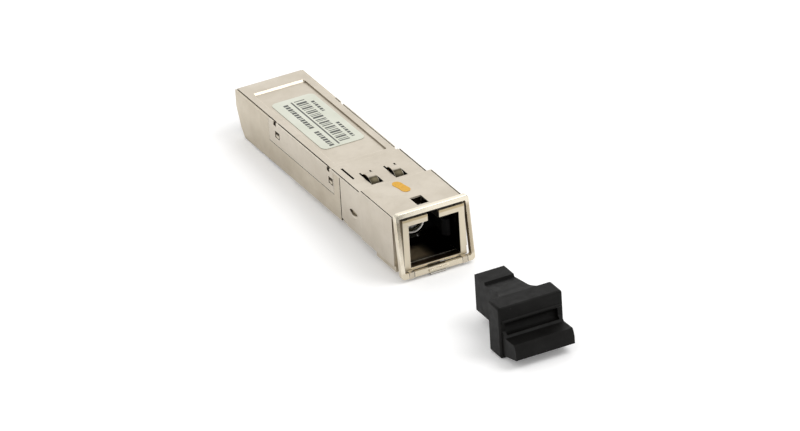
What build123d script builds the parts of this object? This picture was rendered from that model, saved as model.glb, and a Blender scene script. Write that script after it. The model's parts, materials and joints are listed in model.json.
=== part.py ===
"""Pluggable optical transceiver module with a single push-pull fibre port, and its dust plug.

Frame: the origin is the centre of the port at its mouth plane, on the optical axis.
+Y runs into the module towards the host connector end, +Z is up, +X is to the right
of someone who looks into the port. All sizes are in millimetres.
"""
from build123d import *
import os
from math import atan2, cos, sin, sqrt

# ---------------------------------------------------------------- driving dimensions
# Body that slides into the host cage
MODULE_LENGTH = 61.3
BODY_HALF_WIDTH = 6.7
BODY_BOTTOM = -4.1
BODY_TOP = 4.4
WALL = 0.8
FLOOR = 1.0
SPLIT_Y = 25.0
TRAY_WING_FRONT_Y = 21.9
TRAY_TOP_DROP = 0.15
FIT_GAP = 0.05
REAR_OPENING = 4.0
SKIRT_KNEE_Y = 1.5
SKIRT_KNEE_Z = -2.5
SKIRT_TOP_Z = 1.2

# Head that stays outside the cage
STOP_Y = 13.8
HEAD_FRONT_Y = 1.9
HEAD_HALF_WIDTH = 6.75
HEAD_TOP = 5.15
HEAD_BOTTOM = -5.1
HEAD_KEEL_END_Y = 9.0
NOSE_HALF_WIDTH = 5.95
NOSE_TOP = 5.3
NOSE_BOTTOM = -4.4

# Fibre port
PORT_HALF_WIDTH = 4.55
PORT_HALF_HEIGHT = 3.75
PORT_LEAD_IN = 0.3
PORT_LEAD_DEPTH = 0.7
PORT_DEPTH = 9.0
KEY_HALF_WIDTH = 1.1
KEY_DEPTH = 6.6
POCKET_END_Y = 12.6
POCKET_BOTTOM = -2.8
POCKET_TOP = 3.5
CHAMBER_START_Y = 14.0
CHAMBER_HALF_WIDTH = 5.3
CHAMBER_FLOOR = -2.9

# Sheet-metal shell over the head
SHEET = 0.3
SHELL_BOTTOM = -4.0
SHELL_SIDE_REAR_Y = 21.5
CAGE_SHEET_TOP = 4.65
CAGE_SHEET_HALF = 6.8
FINGER_X = 2.35
FINGER_WINDOW_HALF = 1.15
FINGER_HALF = 0.8
FINGER_FRONT_Y = 15.8
FINGER_ROOT_Y = 20.0
FINGER_RISE = 0.55
FINGER_THICKNESS = 0.16
FINGER_TIP_GAP = 0.8
FINGER_TIP_DROP = 0.7
FINGER_RELIEF = 0.75
SEAM = 0.2
SEAM_DEEP = 0.2
SLIT_X = -5.15
SLIT_HALF = 0.2
SLIT_FRONT_Y = 19.35
SLIT_REAR_Y = 24.0
KEY_WINDOW_FRONT_Y = 3.6
SIDE_NOTCH_Y = 19.6
SIDE_NOTCH_TOP = -3.4
LANCE_Y = 16.9
LANCE_Z = -0.3
LANCE_HALF_LENGTH = 1.5
LANCE_SLOT_HALF = 0.45
LANCE_LIP_HALF = 0.75
LANCE_BULGE = 0.62
LANCE_SUNK = 0.42

# Moulded latch insert in the port
ARM_INNER_X = 3.8
ARM_OUTER_X = 4.4
ARM_TIP_Y = 2.7
ARM_ROOT_Y = 9.2
ARM_HALF_HEIGHT = 1.6
HOOK_X = 3.25
INSERT_BASE = 1.4

# Optics
FERRULE_RADIUS = 1.25
SLEEVE_RADIUS = 1.6
SLEEVE_START_Y = 8.6
SLEEVE_END_Y = 13.4
SLEEVE_SLIT = 0.4
BARREL_RADIUS = 2.15
BARREL_BORE = 1.68
BARREL_LIP_BORE = 1.45
BARREL_LIP = 0.7
BARREL_DISH_RADIUS = 1.8
BARREL_DISH_DEPTH = 0.1
BARREL_START_Y = 7.8
BARREL_END_Y = 15.0
BARREL_FLANGE_RADIUS = 2.65
OPTIC_HALF = 2.7
OPTIC_START_Y = 15.25
OPTIC_END_Y = 21.0
OPTIC_NECK_START_Y = 13.45
OPTIC_CROSS_Y = 18.3
LIGHT_HOLE_RADIUS = 0.8
LENS_RADIUS = 1.0
LENS_BORE_RADIUS = 1.05
LENS_SEAT_Y = 15.6
CAN_RADIUS = 2.3
CAN_FLANGE_RADIUS = 2.65
LASER_CAP_RADIUS = 1.95
LASER_CAP_DEPTH = 1.4
LASER_HEADER = 1.3
LASER_LEAD = 0.7
DIODE_CAP_RADIUS = 1.85
DIODE_CAP_DEPTH = 0.7
DIODE_HEADER = 1.1
DIODE_LEAD = 0.5
SIDE_LIGHT_RADIUS = 0.9
LEAD_SPACING = 0.9
LEAD_RADIUS = 0.2
LEAD_HOLE_RADIUS = 0.22
FILTER_SIDE = 1.2
FILTER_THICKNESS = 0.2
SADDLE_HALF = 4.6
SADDLE_FRONT_Y = 15.6
SADDLE_REAR_Y = 20.6
SADDLE_RELIEF_Z = 3.7

# Circuit board
BOARD_BOTTOM = -1.85
BOARD_THICKNESS = 1.0
BOARD_FRONT_Y = 27.0
BOARD_REAR_Y = 58.1
TONGUE_HALF = 4.6
BOARD_WIDE_HALF = 5.6
BOARD_WIDE_START_Y = 30.0
BOARD_WIDE_END_Y = 50.0
CONTACT_PITCH = 0.8
CONTACT_COUNT = 10
CONTACT_WIDTH = 0.56
CONTACT_LENGTH = 2.6
CONTACT_THICKNESS = 0.05
FLEX = 0.15
LASER_FLEX_HALF = 2.0
FLEX_FOOT_END_Y = 29.0
DIODE_FLEX_OVERHANG = 1.7
DIODE_FLEX_END_Y = 28.6
DIODE_FLEX_FOOT = 1.4
DIODE_FLEX_FOOT_X = 2.4
DIODE_FLEX_TOP = 1.9
RAIL_INNER_X = 4.9

# Components on the board: chips as (x, y, side, height), small parts as rows
DRIVER_X = -0.9
DRIVER_Y = 35.0
DRIVER_HEIGHT = 0.9
DRIVER = (DRIVER_X, DRIVER_Y, 4.0, DRIVER_HEIGHT)
AMPLIFIER = (3.3, 34.6, 3.0, 0.8)
CONTROLLER = (-0.3, 43.4, 4.0, 0.9)
PEDESTAL_HALF = 2.5
PEDESTAL_BOTTOM = 1.4
PAD_HALF = 2.0
CAPACITOR_ROWS_Y = (39.4, 47.2)
CAPACITOR_START_X = -4.0
CAPACITOR_PITCH = 1.6
CAPACITOR_COUNT = 6
CAPACITOR_SIZE = (0.5, 1.0, 0.45)
BULK_ROW_Y = 51.2
BULK_START_X = -3.6
BULK_PITCH = 2.4
BULK_COUNT = 4
BULK_SIZE = (1.0, 0.6, 0.5)
INDUCTOR_XS = (3.4, -3.9)
INDUCTOR_Y = 43.2
INDUCTOR_SIZE = (1.6, 2.4, 1.3)

# Bail ring, hinged low at the front
BAIL_PIVOT_Y = -0.3
BAIL_PIVOT_Z = -5.0
BAIL_LEAN = 6.6
BAIL_INNER_HALF = 6.4
BAIL_OUTER_HALF = 7.1
BAIL_HEIGHT = 11.55
BAIL_TOP_BAR = 0.9
BAR_FRONT = 0.65
BAR_REAR = 0.35
BAR_BELOW = 0.55
BAR_ABOVE = 0.5
JOURNAL_RADIUS = 0.35
JOURNAL_CLEARANCE = 0.05
EAR_INNER_X = 4.7
EAR_OUTER_X = 5.6
EAR_SIDE_GAP = 0.1
EAR_MOUTH_HALF = 0.27
LOBE_HALF_WIDTH = 1.9
LOBE_REACH = 0.92

# Latch rocker under the head
ROCKER_PIN_Y = 7.0
ROCKER_PIN_Z = -4.65
ROCKER_PIN_RADIUS = 0.25
ROCKER_PIN_HALF_LENGTH = 2.9
ROCKER_HUB_RADIUS = 0.4
ROCKER_HALF_WIDTH = 1.5
ROCKER_CHANNEL_HALF = 1.7
BOSS_SHOULDER_Y = 16.3
BOSS_LENGTH = 2.6
BOSS_HALF_WIDTH = 1.3
BOSS_DROP = 0.45
TONGUE_TOP = -5.65
TONGUE_BOTTOM = -6.05
CHANNEL_CEILING_FRONT = -4.2
CHANNEL_CEILING_REAR = -3.15
ROCKER_REAR_TOP = -3.6
SPRING_MID_Y = 12.0
SPRING_HALF_LENGTH = 1.6
SPRING_HALF_WIDTH = 1.1
SPRING_LEAF = 0.1
ROCKER_STEM_HALF = 0.25
ROCKER_BORE_GAP = 0.03
BOSS_FLAT = 0.9
ROCKER_REAR_BOTTOM = -4.0

# Label pocket in the cover, label and colour mark
POCKET_HALF_X = 5.05
LABEL_POCKET_FRONT_Y = 26.5
LABEL_POCKET_REAR_Y = 57.35
LABEL_POCKET_DEEP = 0.3
LABEL_SLOPE_RUN = 0.4
LABEL_SLOPE_HALF = 4.85
LABEL_HALF_X = 4.2
LABEL_FRONT_Y = 32.6
LABEL_REAR_Y = 52.8
LABEL_THICKNESS = 0.08
MARK_X = -0.3
MARK_Y = 11.0
MARK_THICKNESS = 0.05
MARK_OUTLINE = [(-0.75, 1.9), (0.0, 2.1), (0.55, 1.55), (0.72, 0.5), (0.95, -0.6),
                (0.9, -1.7), (0.2, -2.15), (-0.5, -1.75), (-0.72, -0.6), (-0.95, 0.6)]

# Clip tabs of the cover
TAB_FRONT_Y = 24.3
TAB_REAR_Y = 48.5
TAB_BOTTOM = 0.0
TAB_SHEET = 0.25
COVER_PLATE = 0.6
BRIDGE_DROP = 0.42
COVER_HALF = 6.3
CATCH_YS = (25.3, 45.4)
TAB_GAP = 0.06
COVER_GROOVE = 0.2
CATCH_HALF = 0.55
CATCH_LOW = 1.55
CATCH_HIGH = 2.1
CATCH_WINDOW_HALF = 0.85
CATCH_RECESS = 0.6
CATCH_RECESS_HALF = 0.8
CATCH_WINDOW_LOW = 1.45
CATCH_WINDOW_HIGH = 2.75
EDGE_NOTCH_FROM = 0.3
EDGE_NOTCH_TO = 1.3
EDGE_NOTCH_DEEP = 0.75

# Dust plug, lying in line with the port
PLUG_TIP_Y = -19.8
PLUG_NOSE_HALF = 2.85
PLUG_NOSE_TOP = 3.2
PLUG_NOSE_BOTTOM = -3.6
PLUG_NOSE_STRAIGHT = 3.45
PLUG_NOSE_LENGTH = 10.85
PLUG_NECK_STEP = 0.45
PLUG_NECK_REAR_TOP = 3.9
PLUG_FLARE_RADIUS = 2.6
PLUG_FLARE_REACH = 1.9
PLUG_GRIP_HALF = 6.1
PLUG_GRIP_TOP = 4.15
PLUG_GRIP_BOTTOM = -5.45
PLUG_GRIP_DEPTH = 3.75
PLUG_EDGE_RADIUS = 0.4
PLUG_TAB_HALF = 5.6
PLUG_TAB_REACH = 4.6
PLUG_HOLLOW_RADIUS = 2.4
PLUG_HOLLOW_DEPTH = 1.4
PLUG_LEDGE_DROP = 2.7
PLUG_LEDGE_RADIUS = 0.32
PLUG_TAB_TOP = 4.4
PLUG_SCOOP_RADIUS = 1.05
PLUG_SCOOP_DROP = 1.35
PLUG_SCOOP_INSET = 0.6


# ---------------------------------------------------------------- helpers
def block(x_low, x_high, y_low, y_high, z_low, z_high):
    """Box between two corners."""
    size = Box(x_high - x_low, y_high - y_low, z_high - z_low)
    return Pos((x_low + x_high) / 2, (y_low + y_high) / 2, (z_low + z_high) / 2) * size


def wide_block(half, y_low, y_high, z_low, z_high):
    """Box centred on the module's middle plane."""
    return block(-half, half, y_low, y_high, z_low, z_high)


def side_profile(points, half):
    """Closed outline in the YZ plane, extruded to both sides of the middle plane."""
    face = make_face(Polyline(*points, close=True))
    return extrude(Plane.YZ * face, amount=half, both=True)


def rod_x(y, z, radius, x_low, x_high):
    """Cylinder along X."""
    rod = Rotation(0, 90, 0) * Cylinder(radius, x_high - x_low)
    return Pos((x_low + x_high) / 2, y, z) * rod


def rod_y(radius, y_low, y_high, x=0.0, z=0.0):
    """Cylinder along Y."""
    rod = Rotation(90, 0, 0) * Cylinder(radius, y_high - y_low)
    return Pos(x, (y_low + y_high) / 2, z) * rod


def both_sides(shape):
    """The shape and its mirror image across the middle plane."""
    return [shape, mirror(shape, about=Plane.YZ)]


def save(shape, node):
    """Write one node's solids to its own STEP file."""
    solids = Compound(children=list(shape)) if isinstance(shape, (list, tuple)) else shape
    export_step(solids, f"parts/{node}.step")


# ---------------------------------------------------------------- housing
def make_receptacle_block():
    """Die-cast front block: port, nose frame, optics chamber, bail ears and latch channel."""
    nose = wide_block(NOSE_HALF_WIDTH, 0, HEAD_FRONT_Y, NOSE_BOTTOM, NOSE_TOP)
    head = wide_block(HEAD_HALF_WIDTH, HEAD_FRONT_Y, STOP_Y - SHEET, BODY_BOTTOM, HEAD_TOP)
    keel = wide_block(HEAD_HALF_WIDTH, HEAD_FRONT_Y, HEAD_KEEL_END_Y, HEAD_BOTTOM, BODY_BOTTOM)
    cage_half = CAGE_SHEET_HALF - SHEET
    cage_top = CAGE_SHEET_TOP - SHEET
    cage = wide_block(cage_half, STOP_Y - SHEET, SHELL_SIDE_REAR_Y, BODY_BOTTOM, cage_top)
    neck_half = BODY_HALF_WIDTH - WALL - FIT_GAP
    cage += wide_block(neck_half, SHELL_SIDE_REAR_Y, SPLIT_Y, BODY_BOTTOM, cage_top)
    body = nose + head + keel + cage
    for ear in both_sides(make_bail_ear()):
        body += ear

    lead_w = PORT_HALF_WIDTH + PORT_LEAD_IN
    lead_h = PORT_HALF_HEIGHT + PORT_LEAD_IN
    mouth = Plane.XZ * Rectangle(2 * lead_w, 2 * lead_h)
    throat = Plane.XZ.offset(-PORT_LEAD_DEPTH) * Rectangle(2 * PORT_HALF_WIDTH, 2 * PORT_HALF_HEIGHT)
    body -= loft([mouth, throat])
    body -= wide_block(PORT_HALF_WIDTH, 0, PORT_DEPTH, -PORT_HALF_HEIGHT, PORT_HALF_HEIGHT)
    body -= wide_block(PORT_HALF_WIDTH, PORT_DEPTH, POCKET_END_Y, POCKET_BOTTOM, POCKET_TOP)
    body -= wide_block(KEY_HALF_WIDTH, -1, KEY_DEPTH, PORT_HALF_HEIGHT - 0.5, NOSE_TOP + 1)
    body -= rod_y(BARREL_RADIUS + FIT_GAP, POCKET_END_Y - 1, CHAMBER_START_Y + 1)
    body -= wide_block(CHAMBER_HALF_WIDTH, CHAMBER_START_Y, SPLIT_Y + 1, CHAMBER_FLOOR, cage_top + 1)

    half = ROCKER_CHANNEL_HALF
    body -= wide_block(half, HEAD_FRONT_Y - 3, HEAD_KEEL_END_Y + 0.4, HEAD_BOTTOM - 2, CHANNEL_CEILING_FRONT)
    body -= wide_block(half, HEAD_KEEL_END_Y, CHAMBER_START_Y, HEAD_BOTTOM, CHANNEL_CEILING_REAR)
    body -= wide_block(half, CHAMBER_START_Y, 20.0, HEAD_BOTTOM, CHAMBER_FLOOR + 1)
    body -= make_rocker_pin()
    return body


def make_bail_ear():
    """Hook under the nose that a journal of the bail ring snaps into from below."""
    outline = [
        (BAIL_PIVOT_Y - BAR_FRONT + 0.05, BAIL_PIVOT_Z - BAR_BELOW),
        (HEAD_FRONT_Y, BAIL_PIVOT_Z - BAR_BELOW),
        (HEAD_FRONT_Y, NOSE_BOTTOM),
        (BAIL_PIVOT_Y - BAR_FRONT + 0.05, NOSE_BOTTOM),
    ]
    face = make_face(Polyline(*outline, close=True))
    ear = extrude(Plane.YZ.offset(EAR_INNER_X) * face, amount=EAR_OUTER_X - EAR_INNER_X)
    ear += block(EAR_INNER_X, EAR_OUTER_X, 0, HEAD_FRONT_Y, NOSE_BOTTOM - 0.01, NOSE_BOTTOM + 0.2)
    hole = JOURNAL_RADIUS + JOURNAL_CLEARANCE
    ear -= rod_x(BAIL_PIVOT_Y, BAIL_PIVOT_Z, hole, EAR_INNER_X - 1, EAR_OUTER_X + 1)
    low_y = BAIL_PIVOT_Y - EAR_MOUTH_HALF
    high_y = BAIL_PIVOT_Y + EAR_MOUTH_HALF
    ear -= block(EAR_INNER_X - 1, EAR_OUTER_X + 1, low_y, high_y, BAIL_PIVOT_Z - 2, BAIL_PIVOT_Z)
    return ear


def make_base_tray():
    """Die-cast tray behind the front block, with two side wings beside the block's neck."""
    rear = MODULE_LENGTH
    top = BODY_TOP - TRAY_TOP_DROP
    outline = [
        (SPLIT_Y, BODY_BOTTOM),
        (rear - REAR_OPENING + 1.2, BODY_BOTTOM),
        (rear - SKIRT_KNEE_Y, SKIRT_KNEE_Z),
        (rear, SKIRT_TOP_Z),
        (rear, top),
        (SPLIT_Y, top),
    ]
    tray = side_profile(outline, BODY_HALF_WIDTH)
    inner_half = BODY_HALF_WIDTH - WALL
    tray -= wide_block(inner_half, SPLIT_Y - 1, rear + 1, BODY_BOTTOM + FLOOR, BODY_TOP)
    tray -= wide_block(inner_half, rear - REAR_OPENING, rear + 1, BODY_BOTTOM - 1, BODY_TOP)
    tray -= wide_block(COVER_HALF + 0.1, SPLIT_Y - 1, rear + 1, BODY_TOP - COVER_PLATE, BODY_TOP + 1)
    for wing in both_sides(block(inner_half, BODY_HALF_WIDTH, TRAY_WING_FRONT_Y, SPLIT_Y, BODY_BOTTOM, top)):
        tray += wing
    for rail in both_sides(block(RAIL_INNER_X, inner_half, BOARD_WIDE_START_Y, BOARD_WIDE_END_Y,
                                 BODY_BOTTOM + FLOOR, BOARD_BOTTOM)):
        tray += rail
    pocket = block(BODY_HALF_WIDTH - TAB_SHEET, BODY_HALF_WIDTH + 1, TAB_FRONT_Y - TAB_GAP,
                   TAB_REAR_Y + TAB_GAP, TAB_BOTTOM - 2 * TAB_GAP, BODY_TOP + 1)
    for cut in both_sides(pocket):
        tray -= cut
    shelf = block(COVER_HALF, BODY_HALF_WIDTH + 1, TAB_FRONT_Y - TAB_GAP, TAB_REAR_Y + TAB_GAP,
                  BODY_TOP - BRIDGE_DROP - 0.03, BODY_TOP + 1)
    for cut in both_sides(shelf):
        tray -= cut
    for y in CATCH_YS:
        catch = block(BODY_HALF_WIDTH - TAB_SHEET, BODY_HALF_WIDTH - 0.03, y - CATCH_HALF, y + CATCH_HALF,
                      CATCH_LOW, CATCH_HIGH)
        deep_low = BODY_HALF_WIDTH - CATCH_RECESS
        deep_high = BODY_HALF_WIDTH - TAB_SHEET + 0.01
        recess = block(deep_low, deep_high, y - CATCH_RECESS_HALF, y + CATCH_RECESS_HALF, CATCH_HIGH + 0.05,
                       CATCH_WINDOW_HIGH - 0.05)
        recess += block(deep_low, deep_high, y - CATCH_RECESS_HALF, y - CATCH_HALF - 0.02, CATCH_LOW,
                        CATCH_WINDOW_HIGH - 0.05)
        for piece in both_sides(catch):
            tray += piece
        for cut in both_sides(recess):
            tray -= cut
    return tray


def make_rear_cover():
    """Top cover: plate with a sunk label field, clip tabs down both sides, heat pedestal."""
    plate = wide_block(COVER_HALF, SPLIT_Y, MODULE_LENGTH, BODY_TOP - COVER_PLATE, BODY_TOP)
    rear_edge = plate.edges().filter_by(Axis.X).group_by(Axis.Y)[-1].sort_by(Axis.Z)[-1]
    plate = fillet(rear_edge, 0.2)
    field = wide_block(POCKET_HALF_X, LABEL_POCKET_FRONT_Y, LABEL_POCKET_REAR_Y,
                       BODY_TOP - LABEL_POCKET_DEEP, BODY_TOP + 1)
    field = fillet(field.edges().filter_by(Axis.Z), 0.3)
    plate -= field
    field_floor = BODY_TOP - LABEL_POCKET_DEEP
    slope_foot = LABEL_POCKET_REAR_Y - 0.01
    slope = [
        (slope_foot, field_floor),
        (LABEL_POCKET_REAR_Y + LABEL_SLOPE_RUN, BODY_TOP + 0.01),
        (slope_foot, BODY_TOP + 0.01),
    ]
    plate -= side_profile(slope, LABEL_SLOPE_HALF)
    tab = block(BODY_HALF_WIDTH - TAB_SHEET, BODY_HALF_WIDTH, TAB_FRONT_Y, TAB_REAR_Y,
                TAB_BOTTOM, BODY_TOP - 0.05)
    bridge = block(COVER_HALF - 0.01, BODY_HALF_WIDTH, TAB_FRONT_Y, TAB_REAR_Y,
                   BODY_TOP - BRIDGE_DROP, BODY_TOP - 0.12)
    groove = block(COVER_HALF, COVER_HALF + COVER_GROOVE, TAB_FRONT_Y, TAB_REAR_Y,
                   BODY_TOP - 0.3, BODY_TOP + 1)
    tab = tab + bridge - groove
    for y in CATCH_YS:
        tab -= block(BODY_HALF_WIDTH - 1, BODY_HALF_WIDTH + 1, y - CATCH_WINDOW_HALF, y + CATCH_WINDOW_HALF,
                     CATCH_WINDOW_LOW, CATCH_WINDOW_HIGH)
        tab -= block(COVER_HALF - 0.1, BODY_HALF_WIDTH + 1, y + EDGE_NOTCH_FROM, y + EDGE_NOTCH_TO,
                     BODY_TOP - EDGE_NOTCH_DEEP, BODY_TOP + 1)
    for piece in both_sides(tab):
        plate += piece
    pedestal = block(DRIVER_X - PEDESTAL_HALF, DRIVER_X + PEDESTAL_HALF, DRIVER_Y - PEDESTAL_HALF,
                     DRIVER_Y + PEDESTAL_HALF, PEDESTAL_BOTTOM, BODY_TOP - COVER_PLATE)
    return plate + pedestal


# ---------------------------------------------------------------- front shell
def make_spring_finger(x, z_sheet):
    """Bowed strip lanced out of the sheet, rooted at its rear end."""
    mid_y = (FINGER_ROOT_Y + FINGER_FRONT_Y) / 2 + 0.3
    root_y = FINGER_ROOT_Y + 0.02
    end_y = FINGER_FRONT_Y + FINGER_TIP_GAP
    end_z = z_sheet - FINGER_TIP_DROP
    under = z_sheet + FINGER_RISE - FINGER_THICKNESS
    top = ThreePointArc((root_y, z_sheet), (mid_y, z_sheet + FINGER_RISE), (end_y, end_z))
    low = ThreePointArc((end_y, end_z - FINGER_THICKNESS), (mid_y, under), (root_y, z_sheet - 0.2))
    front = Line(top @ 1, low @ 0)
    back = Line(low @ 1, top @ 0)
    face = make_face([top, front, low, back])
    return extrude(Plane.YZ.offset(x - FINGER_HALF) * face, amount=2 * FINGER_HALF)


def make_side_lance():
    """Louvre on the shell's side: a lens-shaped slot with a pressed-out lip under it."""
    bulge = scale(Sphere(1.0), (LANCE_BULGE, LANCE_HALF_LENGTH, LANCE_LIP_HALF))
    lip = Pos(CAGE_SHEET_HALF - LANCE_SUNK, LANCE_Y, LANCE_Z - LANCE_LIP_HALF) * bulge
    lip &= block(CAGE_SHEET_HALF - SHEET + 0.01, CAGE_SHEET_HALF + 1, LANCE_Y - 2, LANCE_Y + 2,
                 LANCE_Z - 2, LANCE_Z - 0.3)
    return lip


def make_front_shell():
    """Folded sheet shell over the head, with ground springs, key window and side lances."""
    out = HEAD_HALF_WIDTH + SHEET
    top = HEAD_TOP + SHEET
    head = wide_block(out, HEAD_FRONT_Y, STOP_Y, SHELL_BOTTOM, top)
    head -= wide_block(HEAD_HALF_WIDTH, HEAD_FRONT_Y - 1, STOP_Y - SHEET, SHELL_BOTTOM - 1, HEAD_TOP)
    cage_in = CAGE_SHEET_HALF - SHEET
    cage_top_in = CAGE_SHEET_TOP - SHEET
    head -= wide_block(cage_in, STOP_Y - 1, STOP_Y + 1, SHELL_BOTTOM - 1, cage_top_in)
    cage = wide_block(CAGE_SHEET_HALF, STOP_Y - SHEET, SPLIT_Y, SHELL_BOTTOM, CAGE_SHEET_TOP)
    cage -= wide_block(cage_in, STOP_Y - 1, SPLIT_Y + 1, SHELL_BOTTOM - 1, cage_top_in)
    for side in both_sides(block(0, 9, SHELL_SIDE_REAR_Y, SPLIT_Y + 1, SHELL_BOTTOM - 1, cage_top_in)):
        cage -= side
    shell = head + cage
    for side in both_sides(block(6.4, 9, SIDE_NOTCH_Y, SPLIT_Y, SHELL_BOTTOM - 1, SIDE_NOTCH_TOP)):
        shell -= side

    seam_x = HEAD_HALF_WIDTH
    head_seam = block(seam_x, seam_x + SEAM, HEAD_FRONT_Y - 1, STOP_Y - SHEET, top - SEAM_DEEP, top + 1)
    for cut in both_sides(head_seam):
        shell -= cut
    seam_floor = CAGE_SHEET_TOP - SEAM_DEEP
    cage_seam = block(cage_in, cage_in + SEAM, STOP_Y, SPLIT_Y + 1, seam_floor, CAGE_SHEET_TOP + 1)
    for cut in both_sides(cage_seam):
        shell -= cut
    for side in (-1, 1):
        x = side * FINGER_X
        window = block(x - FINGER_WINDOW_HALF, x + FINGER_WINDOW_HALF, FINGER_FRONT_Y, FINGER_ROOT_Y,
                       cage_top_in - 1, CAGE_SHEET_TOP + 1)
        shell -= window
        for notch in (-1, 1):
            relief_x = x + notch * (FINGER_WINDOW_HALF + FINGER_HALF) / 2
            relief = (FINGER_WINDOW_HALF - FINGER_HALF) / 2
            shell -= block(relief_x - relief, relief_x + relief, FINGER_ROOT_Y - 0.1,
                           FINGER_ROOT_Y + FINGER_RELIEF, cage_top_in - 1, CAGE_SHEET_TOP + 1)
        shell += make_spring_finger(x, CAGE_SHEET_TOP)
    shell -= block(SLIT_X - SLIT_HALF, SLIT_X + SLIT_HALF, SLIT_FRONT_Y, SLIT_REAR_Y,
                   cage_top_in - 1, CAGE_SHEET_TOP + 1)
    shell -= wide_block(KEY_HALF_WIDTH, KEY_WINDOW_FRONT_Y, KEY_DEPTH, HEAD_TOP - 1, top + 1)
    for lip in both_sides(make_side_lance()):
        shell += lip
    lens_cut = scale(Rotation(0, 90, 0) * Cylinder(1.0, 1.4), (1, LANCE_HALF_LENGTH - 0.05, LANCE_SLOT_HALF))
    lens_cut = Pos(CAGE_SHEET_HALF, LANCE_Y, LANCE_Z) * lens_cut
    for cut in both_sides(lens_cut):
        shell -= cut
    return shell


# ---------------------------------------------------------------- port and optics
def make_latch_insert():
    """Moulded insert whose two hooked arms hold the fibre connector."""
    base = wide_block(ARM_OUTER_X + FIT_GAP, ARM_ROOT_Y, ARM_ROOT_Y + INSERT_BASE, POCKET_BOTTOM + FIT_GAP,
                      POCKET_TOP - FIT_GAP)
    base -= rod_y(BARREL_RADIUS + FIT_GAP, ARM_ROOT_Y - 1, ARM_ROOT_Y + INSERT_BASE + 1)
    arm = block(ARM_INNER_X, ARM_OUTER_X, ARM_TIP_Y, ARM_ROOT_Y, -ARM_HALF_HEIGHT, ARM_HALF_HEIGHT)
    hook_points = [
        (ARM_INNER_X, ARM_TIP_Y),
        (HOOK_X, ARM_TIP_Y + 0.8),
        (HOOK_X, ARM_TIP_Y + 1.2),
        (ARM_INNER_X, ARM_TIP_Y + 1.4),
    ]
    hook_face = make_face(Polyline(*hook_points, close=True))
    hook = Pos(0, 0, -ARM_HALF_HEIGHT) * extrude(hook_face, amount=2 * ARM_HALF_HEIGHT)
    for piece in both_sides(arm + hook):
        base += piece
    return base


def make_ferrule_barrel():
    """Thin metal tube round the alignment sleeve, with a front lip and a flange against the back wall."""
    tube = rod_y(BARREL_RADIUS, BARREL_START_Y, BARREL_END_Y)
    tube += rod_y(BARREL_FLANGE_RADIUS, CHAMBER_START_Y + 0.05, BARREL_END_Y)
    tube -= rod_y(BARREL_BORE, BARREL_START_Y + BARREL_LIP, BARREL_END_Y + 1)
    tube -= rod_y(BARREL_LIP_BORE, BARREL_START_Y - 1, BARREL_END_Y)
    dish = Rotation(90, 0, 0) * Cone(BARREL_DISH_RADIUS, BARREL_RADIUS - FIT_GAP, BARREL_DISH_DEPTH)
    return tube - Pos(0, BARREL_START_Y + BARREL_DISH_DEPTH / 2, 0) * dish


def make_split_sleeve():
    """Ceramic alignment sleeve with a slit along its length."""
    sleeve = rod_y(SLEEVE_RADIUS, SLEEVE_START_Y, SLEEVE_END_Y)
    sleeve -= rod_y(FERRULE_RADIUS, SLEEVE_START_Y - 1, SLEEVE_END_Y + 1)
    half_slit = SLEEVE_SLIT / 2
    sleeve -= block(-half_slit, half_slit, SLEEVE_START_Y - 1, SLEEVE_END_Y + 1, 0, SLEEVE_RADIUS + 1)
    return sleeve


def make_focus_lens():
    """Ball lens on the rim of the light hole behind the ferrule stop."""
    seat_depth = sqrt(LENS_RADIUS ** 2 - LIGHT_HOLE_RADIUS ** 2)
    return Pos(0, LENS_SEAT_Y + seat_depth + 0.01, 0) * Sphere(LENS_RADIUS)


def make_optic_body():
    """Machined block that joins barrel, laser and photodiode; its neck is the ferrule's stop."""
    body = wide_block(OPTIC_HALF, OPTIC_START_Y, OPTIC_END_Y, -OPTIC_HALF, OPTIC_HALF)
    body = chamfer(body.edges().filter_by(Axis.Y), 0.5)
    body += rod_y(SLEEVE_RADIUS, OPTIC_NECK_START_Y, OPTIC_START_Y + 0.1)
    body -= rod_y(LIGHT_HOLE_RADIUS, OPTIC_NECK_START_Y - 1, OPTIC_END_Y)
    body -= rod_y(LENS_BORE_RADIUS, LENS_SEAT_Y, OPTIC_END_Y + 1)
    body -= rod_y(LASER_CAP_RADIUS + FIT_GAP, OPTIC_END_Y - LASER_CAP_DEPTH - 0.2, OPTIC_END_Y + 1)
    body -= rod_x(OPTIC_CROSS_Y, 0, SIDE_LIGHT_RADIUS, 0, OPTIC_HALF + 1)
    seat_x = OPTIC_HALF - DIODE_CAP_DEPTH - 0.1
    body -= rod_x(OPTIC_CROSS_Y, 0, DIODE_CAP_RADIUS + FIT_GAP, seat_x, OPTIC_HALF + 1)
    return body


def make_wave_filter():
    """Splitter glass at 45 degrees where the two light paths cross."""
    glass = Rotation(0, 0, 45) * Box(FILTER_SIDE, FILTER_THICKNESS, FILTER_SIDE)
    return Pos(0, OPTIC_CROSS_Y, 0) * glass


def make_laser_can():
    """Laser diode can on the optical axis, with four leads."""
    header_end = OPTIC_END_Y + LASER_HEADER
    can = rod_y(LASER_CAP_RADIUS, OPTIC_END_Y - LASER_CAP_DEPTH, OPTIC_END_Y + 0.1)
    can += rod_y(CAN_FLANGE_RADIUS, OPTIC_END_Y + FIT_GAP, header_end)
    for x in (-LEAD_SPACING, LEAD_SPACING):
        for z in (-LEAD_SPACING, LEAD_SPACING):
            can += rod_y(LEAD_RADIUS, header_end - 0.1, header_end + LASER_LEAD, x, z)
    return can


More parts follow.
